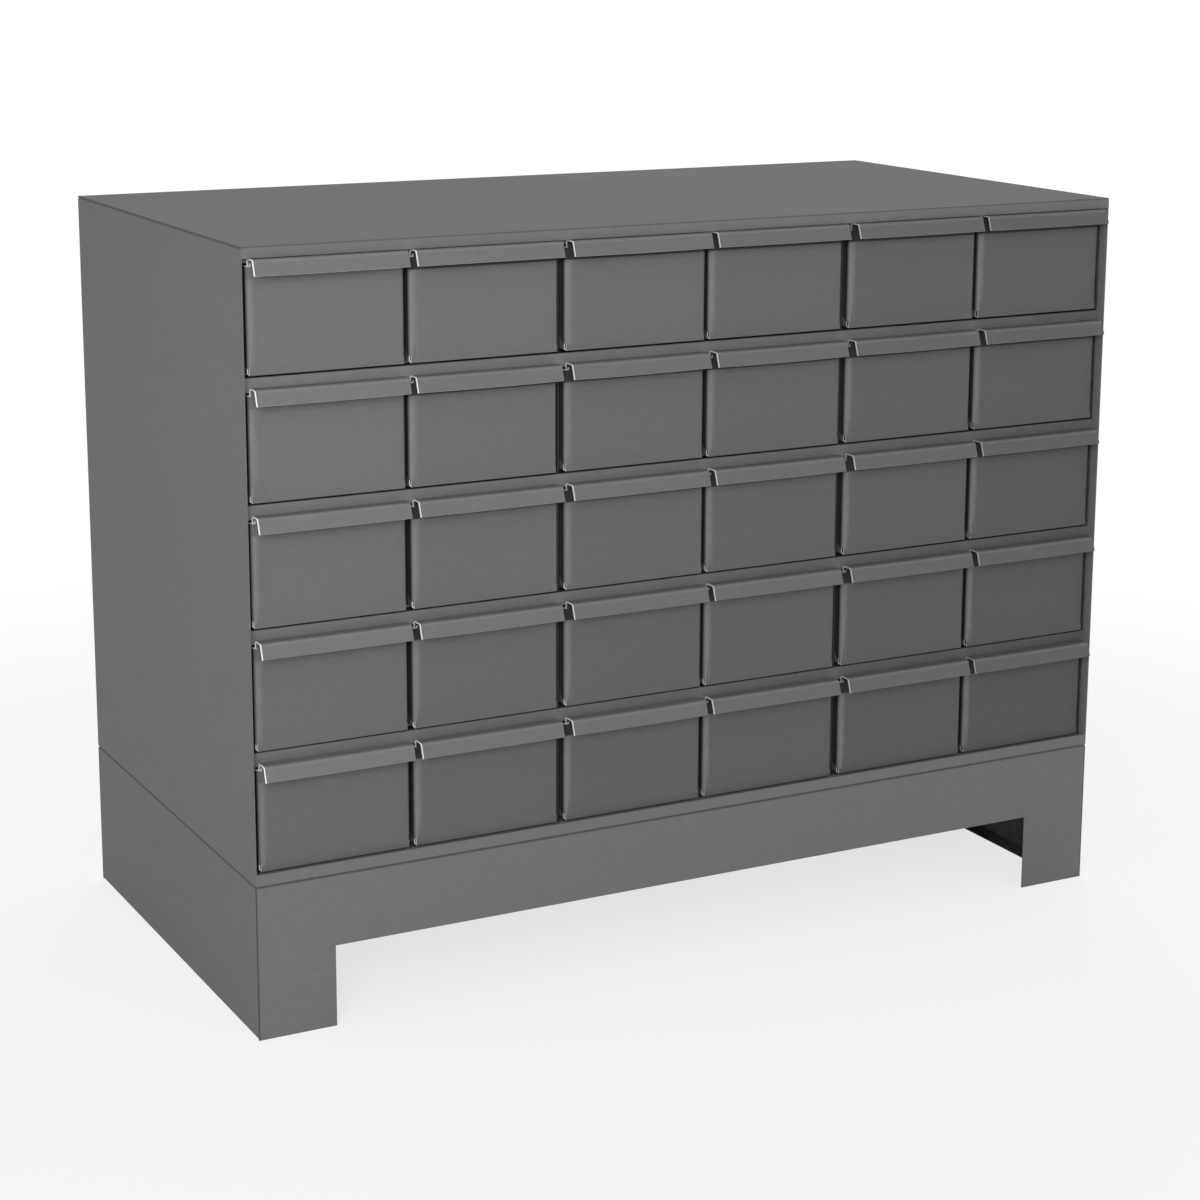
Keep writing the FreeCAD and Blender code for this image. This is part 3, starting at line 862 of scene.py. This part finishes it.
def hem_line(wall_x, top, hem, foot):
    """Return the points over the top of a wall and down its hem, as far as the hem's foot."""
    centre = Vector((wall_x - hem, top - hem))
    line = [Vector((wall_x, top - HEM_START * hem))]
    for angle in spread(0, math.pi, HEM_POINTS):
        line.append(centre + hem * Vector((math.cos(angle), math.sin(angle))))
    line.append(Vector((wall_x - 2 * hem, foot)))
    return line


def tray_plan(width, sizes):
    """Return the middle surface of a drawer's tray, placed as its front is."""
    half = sizes.sheet / 2
    wall_x = width / 2 - sizes.sheet - half
    bend = sizes.fold_radius + half
    hem = half + HEM_GAP
    top = sizes.wall_height - half
    front = sizes.corner_radius
    plan = SheetPlan()

    floor_x = spread(bend - wall_x, wall_x - bend, FLOOR_COLUMNS)
    turns = spread(0, math.pi / 2, FLOOR_BEND_POINTS)[1:-1]
    bends = [Vector((wall_x - bend + bend * math.sin(a), half + bend - bend * math.cos(a))) for a in turns]
    upright = [Vector((wall_x, z)) for z in spread(half + bend, top - WALL_END * hem, WALL_ROWS)]
    right = bends + upright + hem_line(wall_x, top, hem, sizes.wall_height - sizes.hem_height)
    left = [Vector((-p.x, p.y)) for p in reversed(right)]
    section = left + [Vector((x, half)) for x in floor_x] + right
    stations = spread(front, sizes.length, TRAY_STATIONS)
    plan.grid([[(p.x, y, p.y) for p in section] for y in stations])
    plan.grid([[(x, y, half) for x in floor_x] for y in (half, front)])

    back_y = sizes.length - half
    back_x = wall_x - half - HEM_GAP
    columns = spread(-back_x, back_x, BACK_COLUMNS)
    levels = spread(half, sizes.wall_height, BACK_ROWS)
    plan.grid([[(x, back_y, z) for x in columns] for z in levels])
    return plan


def lug_plan(width, sizes, lug_height):
    """Return the middle surface of the two stop lugs on a drawer's walls."""
    wall_x = width / 2 - sizes.sheet * 1.5
    start = sizes.length - sizes.stop_setback
    corner = 1.5 * MM
    plan = SheetPlan()
    for side in (-1, 1):
        across = [0, corner, sizes.stop_length - corner, sizes.stop_length]
        low = sizes.wall_height - sizes.hem_height
        upper = [lug_height - corner, lug_height, lug_height, lug_height - corner]
        levels = [[low] * 4, [sizes.wall_height] * 4, upper]
        plan.grid([[(side * wall_x, start + y, z) for y, z in zip(across, row)] for row in levels])
    return plan


# Operators


def settings_of(context):
    """Return the add-on's settings."""
    return context.scene.drawer_cabinet


class CABINET_OT_body(bpy.types.Operator):
    """Paint the body: roof, sides, back, floor, rails, shelves and dividers"""

    bl_idname = "cabinet.body"
    bl_label = "Paint the Body"

    def execute(self, context):
        settings = settings_of(context).finish
        enamel = body_enamel(
            "body_enamel", settings, OUTER_PANELS, bare_below=0, upright=0.15, shade_behind=9 * MM)
        paint(PAINTED_BODY, enamel)
        paint(DIVIDERS, divider_painted_shade(settings))
        paint(PAINTED_RAILS, rail_enamel(settings))
        return {"FINISHED"}


class CABINET_OT_base(bpy.types.Operator):
    """Paint the base and plate its bolts and nuts"""

    bl_idname = "cabinet.base"
    bl_label = "Finish the Base"

    def execute(self, context):
        settings = settings_of(context).finish
        enamel = body_enamel(
            "base_enamel", settings, BASE_FACES, bare_below=10 * MM, upright=1.0, shade_behind=4 * MM)
        paint(PAINTED_BASE, enamel)
        paint(FASTENERS, zinc_plate(settings))
        return {"FINISHED"}


class CABINET_OT_guides(bpy.types.Operator):
    """Galvanise the strips that the drawers ride on"""

    bl_idname = "cabinet.guides"
    bl_label = "Finish the Guides"

    def execute(self, context):
        paint(GUIDES, galvanised_steel(settings_of(context).finish))
        return {"FINISHED"}


# How the drawers differ from one another
INWARD_BOW = 0.6
MOST_SAG = 0.35 * MM
WAVE_HEIGHT = 0.12 * MM
WAVE_SCALE = 21 * MM
PAINT_SPREAD = 0.015
# Strength of the painted shade behind the pulls, weak in the left column.
FIRST_PULL_SHADE = 0.1
PULL_SHADE = 1.0


class CABINET_OT_drawers(bpy.types.Operator):
    """Bend and paint the thirty drawers, each a little different"""

    bl_idname = "cabinet.drawers"
    bl_label = "Build the Drawers"

    def execute(self, context):
        settings = settings_of(context)
        self.sizes = settings.drawer
        self.pull = settings.pull
        self.fit = settings.fit
        self.finish = settings.finish
        self.enamel = drawer_enamel("drawer_enamel", self.finish, False)
        self.inner = drawer_enamel("drawer_inside_enamel", self.finish, True)
        self.edge = cut_edge_steel(self.finish)
        chance = random.Random(self.fit.seed)
        for row in range(1, ROWS + 1):
            for column in range(1, COLUMNS + 1):
                self.drawer(row, column, chance)
        return {"FINISHED"}

    def drawer(self, row, column, chance):
        """Build one drawer around its CAD node."""
        body = f"drawer_{row}_{column}"
        low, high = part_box(body)
        width = high.x - low.x
        foot = Vector(((low.x + high.x) / 2, high.y - self.sizes.length, low.z))
        shift = Vector((chance.uniform(-1, 1) * self.fit.play, chance.uniform(0, 1) * self.fit.play, 0))
        if row == TOP_ROW:
            shift.x += self.fit.top_row_shift
        skew = chance.uniform(-1, 1) * self.fit.skew
        bow = chance.uniform(-INWARD_BOW, 1) * self.fit.bow
        sag = chance.uniform(0, 1) * MOST_SAG
        phase = chance.uniform(0, 2 * math.pi)
        # Painted light: the cut edges' highlight dims towards the right column, and the pulls keep their
        # painted highlight over the faces in every row.
        edge_highlight_share = 1 - self.finish.edge_fade * (column - 1) / (COLUMNS - 1)
        across, down = self.fade(row, column)
        tones = {
            "tone": (1 - across) * (1 - down) * chance.uniform(1 - PAINT_SPREAD, 1 + PAINT_SPREAD),
            "edge_highlight_share": edge_highlight_share,
            "pull_highlight_gain": self.finish.pull_lift / (1 - down) - 1,
        }
        middle = Vector((0, self.sizes.length / 2, 0))
        turn = Matrix.Rotation(skew, 3, "Z")

        def seated(point):
            """Return a point of the drawer in its place in the cabinet."""
            return foot + shift + middle + turn @ (point - middle)

        def pressed(point):
            """Return a point of the front with the face bowed and the pull a little wavy."""
            across = 1 - min(1, abs(point.x) / (width / 2)) ** 2
            up = min(1, max(0, point.z / self.sizes.front_height))
            forward = max(0, -point.y) / self.pull.reach
            wave = WAVE_HEIGHT * math.sin(phase + point.x / WAVE_SCALE)
            bowed = point - Vector((0, bow * across * 4 * up * (1 - up), 0))
            return bowed - Vector((0, wave * forward, sag * across * forward))

        pull_shade = FIRST_PULL_SHADE if column == 1 else PULL_SHADE
        front = front_plan(width, self.sizes, self.pull, pull_shade)
        front.shaped(lambda point: seated(pressed(point)))
        tray = tray_plan(width, self.sizes)
        tray.shaped(seated)
        lugs = lug_plan(width, self.sizes, high.z - low.z)
        lugs.shaped(seated)
        pieces = [
            front.solid(f"{body}_front", self.sizes.sheet, [self.enamel, self.edge, self.inner], tones),
            tray.solid(f"{body}_tray", self.sizes.sheet, [self.enamel, self.edge, self.enamel], tones),
            lugs.solid(f"{body}_lugs", self.sizes.sheet, [self.enamel, self.edge, self.enamel], tones),
        ]
        for piece in pieces:
            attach(piece, body)
            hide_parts(body)

    def fade(self, row, column):
        """Return the shares of a drawer's colour lost to a painted shade towards the right and downwards."""
        across = self.finish.column_fade * (column - 1) / (COLUMNS - 1)
        down = self.finish.row_fade * (row - 1) / (ROWS - 1)
        return across, down


# The studio
LAMP_SIZE = 1.4
LAMP_AIM = Vector((0, 0, 0.35))
KEY_LAMP_PLACE = Vector((-1.9, -2.9, 1.5))
BACK_LAMP_PLACE = Vector((1.9, 2.9, 1.5))
FLOOR_RADIUS = 9.0
FLOOR_SIDES = 96
FLOOR_DROP = 0.2 * MM
PALE = (0.86, 0.86, 0.86)
WHITE = (1.0, 1.0, 1.0)
FLOOR_GLOW = 1.03
SHADOW_REACH = 0.9
SHADOW_BLUR = 0.9
SENSOR_WIDTH = 36
SIGHT_RANGE = 100


def area_lamp(name, place, power):
    """Add a large soft square lamp that points from a place at the cabinet, and return it."""
    lamp = bpy.data.lights.new(name, "AREA")
    lamp.shape = "SQUARE"
    lamp.size = LAMP_SIZE
    lamp.energy = power
    holder = bpy.data.objects.new(name, lamp)
    bpy.context.scene.collection.objects.link(holder)
    holder.location = place
    holder.rotation_mode = "QUATERNION"
    holder.rotation_quaternion = (LAMP_AIM - place).to_track_quat("-Z", "Y")
    return holder


def seen_directly(nodes):
    """Return a mask that is 1 for what is seen, also in metal and glass, and 0 for light on other things."""
    rays = ("Is Camera Ray", "Is Glossy Ray", "Is Transmission Ray")
    camera, glossy, transmission = [nodes.node("ShaderNodeLightPath", {}, {}, output=ray) for ray in rays]
    return (camera + glossy + transmission).limited()


class CABINET_OT_stage(bpy.types.Operator):
    """Set the floor, the lamps, the surroundings and the camera"""

    bl_idname = "cabinet.stage"
    bl_label = "Set the Stage"

    def execute(self, context):
        settings = settings_of(context).stage
        context.scene.view_settings.view_transform = "Standard"
        self.floor(settings)
        self.surroundings(context.scene, settings)
        area_lamp("key_lamp", KEY_LAMP_PLACE, settings.key_power)
        back = area_lamp("back_lamp", BACK_LAMP_PLACE, settings.back_power)
        back.visible_glossy = False
        self.camera(context.scene, settings)
        return {"FINISHED"}

    def floor(self, settings):
        """Lay a pale floor that keeps the cabinet's shadow and turns plain white away from it."""
        mesh = bpy.data.meshes.new("floor")
        disc = bmesh.new()
        bmesh.ops.create_circle(disc, cap_ends=True, segments=FLOOR_SIDES, radius=FLOOR_RADIUS)
        disc.to_mesh(mesh)
        disc.free()
        material, nodes = new_finish("studio_floor")
        place = nodes.place()
        away = nodes.node("ShaderNodeVectorMath", {"operation": "LENGTH"}, {0: place}, output="Value")
        shaded = (1 - settings.backdrop_share) * (1 - away.above(SHADOW_REACH, SHADOW_BLUR))
        seen = seen_directly(nodes)
        pale = nodes.node("ShaderNodeBsdfDiffuse", {}, {"Color": PALE})
        white = nodes.node("ShaderNodeEmission", {}, {"Color": WHITE, "Strength": FLOOR_GLOW})
        shader = nodes.node("ShaderNodeMixShader", {}, {0: seen * (1 - shaded), 1: pale, 2: white})
        nodes.node("ShaderNodeOutputMaterial", {}, {"Surface": shader})
        mesh.materials.append(material)
        floor = bpy.data.objects.new("floor", mesh)
        bpy.context.scene.collection.objects.link(floor)
        floor.location.z = -FLOOR_DROP

    def surroundings(self, scene, settings):
        """Surround the cabinet with even light that looks plain white."""
        world = bpy.data.worlds.new("surroundings")
        world.use_nodes = True
        scene.world = world
        nodes = NodeSheet(world.node_tree)
        light = nodes.node("ShaderNodeBackground", {}, {"Color": WHITE, "Strength": settings.surroundings})
        white = nodes.node("ShaderNodeBackground", {}, {"Color": WHITE, "Strength": 1.0})
        shader = nodes.node("ShaderNodeMixShader", {}, {0: seen_directly(nodes), 1: light, 2: white})
        nodes.node("ShaderNodeOutputWorld", {}, {"Surface": shader})

    def camera(self, scene, settings):
        """Stand the camera where the view is taken from."""
        data = bpy.data.cameras.new("camera")
        data.sensor_width = SENSOR_WIDTH
        data.lens = settings.lens
        data.shift_y = settings.lens_shift
        data.clip_end = SIGHT_RANGE
        camera = bpy.data.objects.new("camera", data)
        scene.collection.objects.link(camera)
        a, e, roll = settings.azimuth, settings.elevation, settings.roll
        back = Vector((math.sin(a) * math.cos(e), -math.cos(a) * math.cos(e), math.sin(e)))
        level = Vector((math.cos(a), math.sin(a), 0))
        upright = back.cross(level)
        right = level * math.cos(roll) + upright * math.sin(roll)
        up = upright * math.cos(roll) - level * math.sin(roll)
        turn = Matrix((right, up, back)).transposed()
        camera.matrix_world = Matrix.LocRotScale(Vector(settings.camera_place), turn, None)
        scene.camera = camera


class CABINET_PT_panel(bpy.types.Panel):
    """Steps and settings of the cabinet"""

    bl_label = "Drawer Cabinet"
    bl_idname = "CABINET_PT_panel"
    bl_space_type = "VIEW_3D"
    bl_region_type = "UI"
    bl_category = "Cabinet"

    def draw(self, context):
        for operator in STEPS:
            self.layout.operator(operator.bl_idname)
        settings = settings_of(context)
        for name in ("drawer", "pull", "fit", "finish", "stage"):
            group = getattr(settings, name)
            box = self.layout.box()
            for setting in group.bl_rna.properties:
                if setting.identifier in group.__annotations__:
                    box.prop(group, setting.identifier)


class CabinetSettings(bpy.types.PropertyGroup):
    """All the settings of the cabinet, in groups."""

    drawer: bpy.props.PointerProperty(
        name="Drawer", description="Sizes of the drawers' sheets", type=DrawerSheetSettings)
    pull: bpy.props.PointerProperty(name="Pull", description="Sizes of the pulls", type=PullSettings)
    fit: bpy.props.PointerProperty(name="Fit", description="Play of the drawers", type=FitSettings)
    finish: bpy.props.PointerProperty(name="Finish", description="Colours", type=FinishSettings)
    stage: bpy.props.PointerProperty(name="Stage", description="The studio", type=StageSettings)


STEPS = [CABINET_OT_body, CABINET_OT_base, CABINET_OT_guides, CABINET_OT_drawers, CABINET_OT_stage]
GROUPS = [DrawerSheetSettings, PullSettings, FitSettings, FinishSettings, StageSettings, CabinetSettings]
CLASSES = GROUPS + STEPS + [CABINET_PT_panel]


def register():
    """Register the add-on's classes and hang its settings on the scene."""
    for cls in CLASSES:
        bpy.utils.register_class(cls)
    bpy.types.Scene.drawer_cabinet = bpy.props.PointerProperty(
        name="Drawer Cabinet", description="Settings of the drawer cabinet", type=CabinetSettings)


def unregister():
    """Take the settings off the scene and remove the add-on's classes."""
    del bpy.types.Scene.drawer_cabinet
    for cls in reversed(CLASSES):
        bpy.utils.unregister_class(cls)


def main():
    """Build the cabinet's looks."""
    register()
    bpy.ops.cabinet.body()
    bpy.ops.cabinet.base()
    bpy.ops.cabinet.guides()
    bpy.ops.cabinet.drawers()
    bpy.ops.cabinet.stage()


if __name__ == "__main__":
    main()
